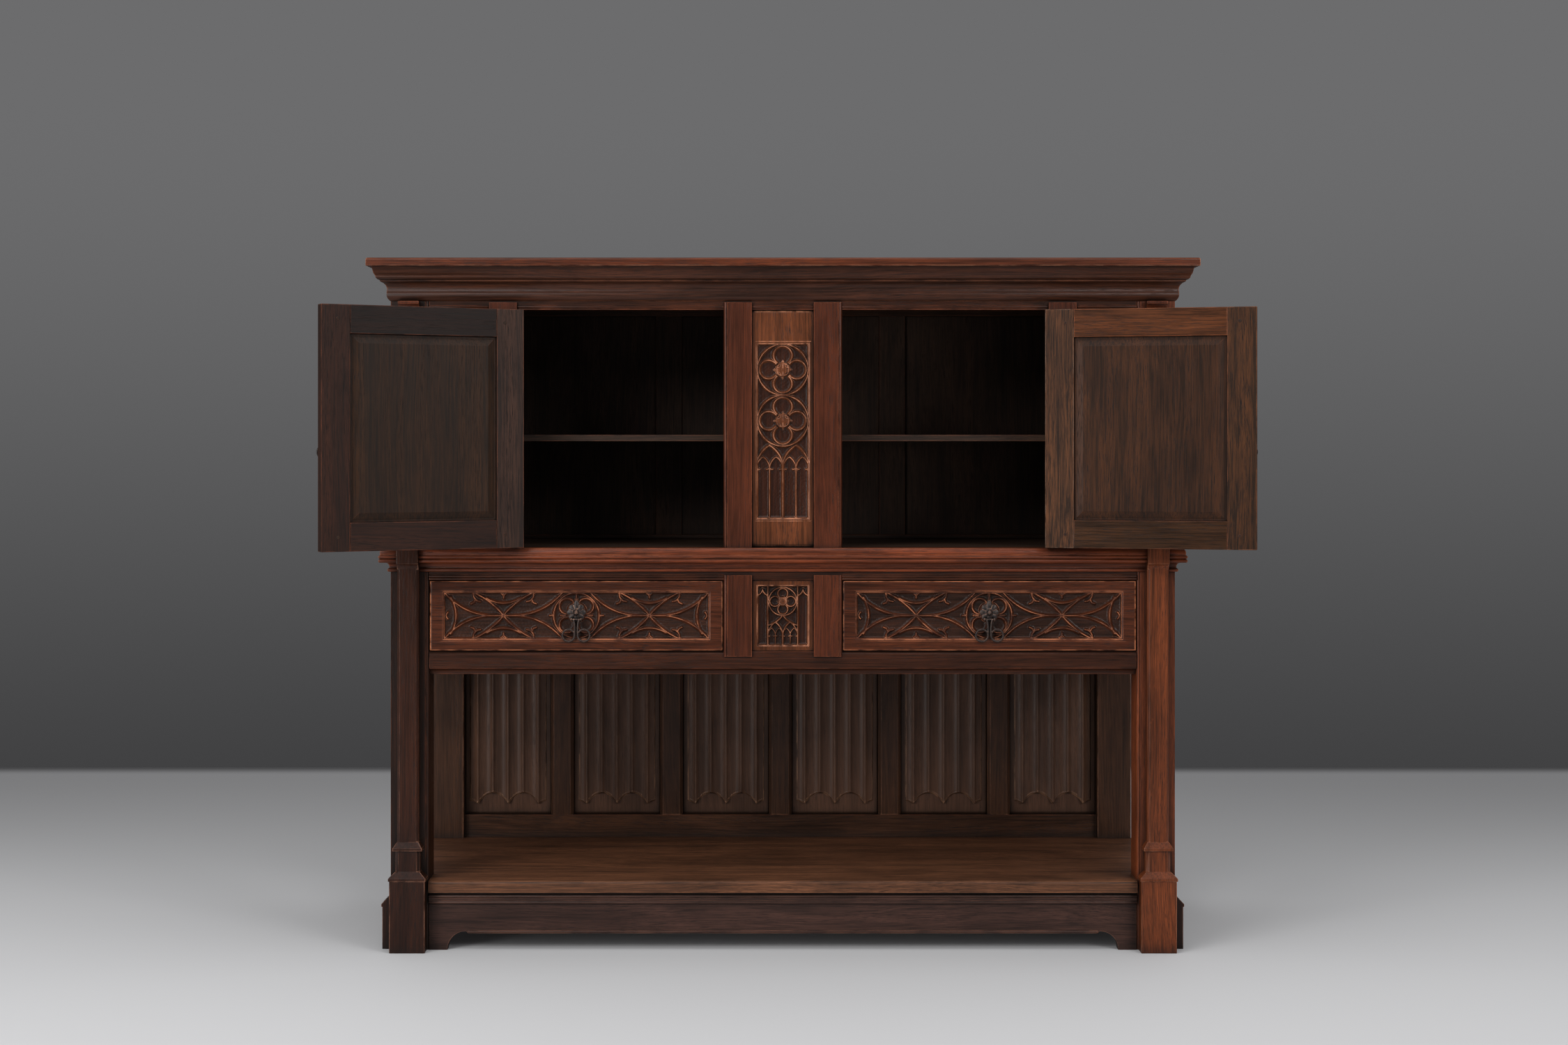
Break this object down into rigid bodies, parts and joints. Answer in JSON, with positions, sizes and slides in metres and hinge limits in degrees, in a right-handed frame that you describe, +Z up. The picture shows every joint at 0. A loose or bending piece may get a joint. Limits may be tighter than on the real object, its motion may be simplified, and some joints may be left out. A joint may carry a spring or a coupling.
{
  "type": "court cupboard",
  "caption": "Oak court cupboard in the gothic taste: two-door cabinet over a pair of carved drawers and an open stage with a linenfold back.",
  "frame": {"origin": "on the floor, under the centre of the carcass", "axes": "+X along the front towards the viewer's right, +Y from the front to the back, +Z up"},
  "size_m": [1.7055, 0.6897, 1.295],
  "materials": {
    "oak": "waxed and polished dark oak",
    "oak_carved": "waxed dark oak, darker in the hollows",
    "oak_inner": "dry oak inside the carcass",
    "oak_door_inner": "worn open-grained oak",
    "oak_shelf": "waxed oak, rubbed pale by use",
    "iron": "dark wrought iron, rubbed at the edges"
  },
  "bodies": {
    "root": {"back_rails": "oak_inner", "cabinet_floor": "oak_inner", "cabinet_shelf": "oak_inner", "cabinet_sides": "oak", "centre_stiles": "oak", "cornice": "oak", "drawer_rail": "oak", "drawer_runners": "oak_inner", "drawer_stiles": "oak", "head_rail": "oak", "hinge_stiles": "oak", "left_buttress": "oak", "left_frame_hinges": "iron", "left_front_post": "oak", "linenfold_panel_1": "oak_carved", "linenfold_panel_2": "oak_carved", "linenfold_panel_3": "oak_carved", "linenfold_panel_4": "oak_carved", "linenfold_panel_5": "oak_carved", "linenfold_panel_6": "oak_carved", "lower_muntins": "oak_carved", "lower_shelf": "oak_shelf", "narrow_panels": "oak", "pilasters": "oak", "plinth_front": "oak", "plinth_moulding": "oak", "plinth_sides": "oak_inner", "rear_posts": "oak_inner", "right_buttress": "oak", "right_frame_hinges": "iron", "right_front_post": "oak", "shelf_battens": "oak_inner", "side_feet": "oak", "small_tracery_panel": "oak_carved", "stage_sides": "oak", "top_board": "oak", "tracery_panel": "oak_carved", "upper_back": "oak_inner", "waist_moulding": "oak", "waist_rail": "oak"},
    "left_door": {"left_door_frame": "oak_door_inner", "left_door_panel": "oak_door_inner", "left_door_hinges": "iron", "left_door_rosette": "iron"},
    "left_door_drop": {"left_door_bail": "iron"},
    "right_door": {"right_door_frame": "oak_door_inner", "right_door_panel": "oak_door_inner", "right_door_hinges": "iron", "right_door_rosette": "iron"},
    "right_door_drop": {"right_door_bail": "iron"},
    "left_drawer": {"left_drawer_front": "oak_carved", "left_drawer_box": "oak_inner", "left_drawer_bottom": "oak_inner", "left_drawer_rosette": "iron"},
    "left_drawer_drop": {"left_drawer_bail": "iron"},
    "right_drawer": {"right_drawer_front": "oak_carved", "right_drawer_box": "oak_inner", "right_drawer_bottom": "oak_inner", "right_drawer_rosette": "iron"},
    "right_drawer_drop": {"right_drawer_bail": "iron"}
  },
  "joints": [
    {"name": "left_door_hinge", "type": "hinge", "parent": "root", "child": "left_door", "pos_m": [-0.495, -0.232, 0.977], "axis": [0, 0, -1], "range_deg": [-153, 17]},
    {"name": "left_drawer_slide", "type": "slide", "parent": "root", "child": "left_drawer", "axis": [0, -1, 0], "range_m": [0, 0.32]},
    {"name": "left_drawer_bail_hinge", "type": "hinge", "parent": "left_drawer", "child": "left_drawer_drop", "pos_m": [-0.387, -0.227, 0.62], "axis": [-1, 0, 0], "range_deg": [0, 85]},
    {"name": "left_door_bail_hinge", "type": "hinge", "parent": "left_door", "child": "left_door_drop", "pos_m": [-0.81265, -0.39273, 0.964], "axis": [0.891, 0.454, 0], "range_deg": [0, 85]},
    {"name": "right_door_hinge", "type": "hinge", "parent": "root", "child": "right_door", "pos_m": [0.495, -0.232, 0.977], "axis": [0, 0, 1], "range_deg": [-166, 4]},
    {"name": "right_drawer_slide", "type": "slide", "parent": "root", "child": "right_drawer", "axis": [0, -1, 0], "range_m": [0, 0.32]},
    {"name": "right_drawer_bail_hinge", "type": "hinge", "parent": "right_drawer", "child": "right_drawer_drop", "pos_m": [0.387, -0.227, 0.62], "axis": [-1, 0, 0], "range_deg": [0, 85]},
    {"name": "right_door_bail_hinge", "type": "hinge", "parent": "right_door", "child": "right_door_drop", "pos_m": [0.84067, -0.31715, 0.964], "axis": [0.9703, -0.2419, 0], "range_deg": [0, 85]}
  ]
}
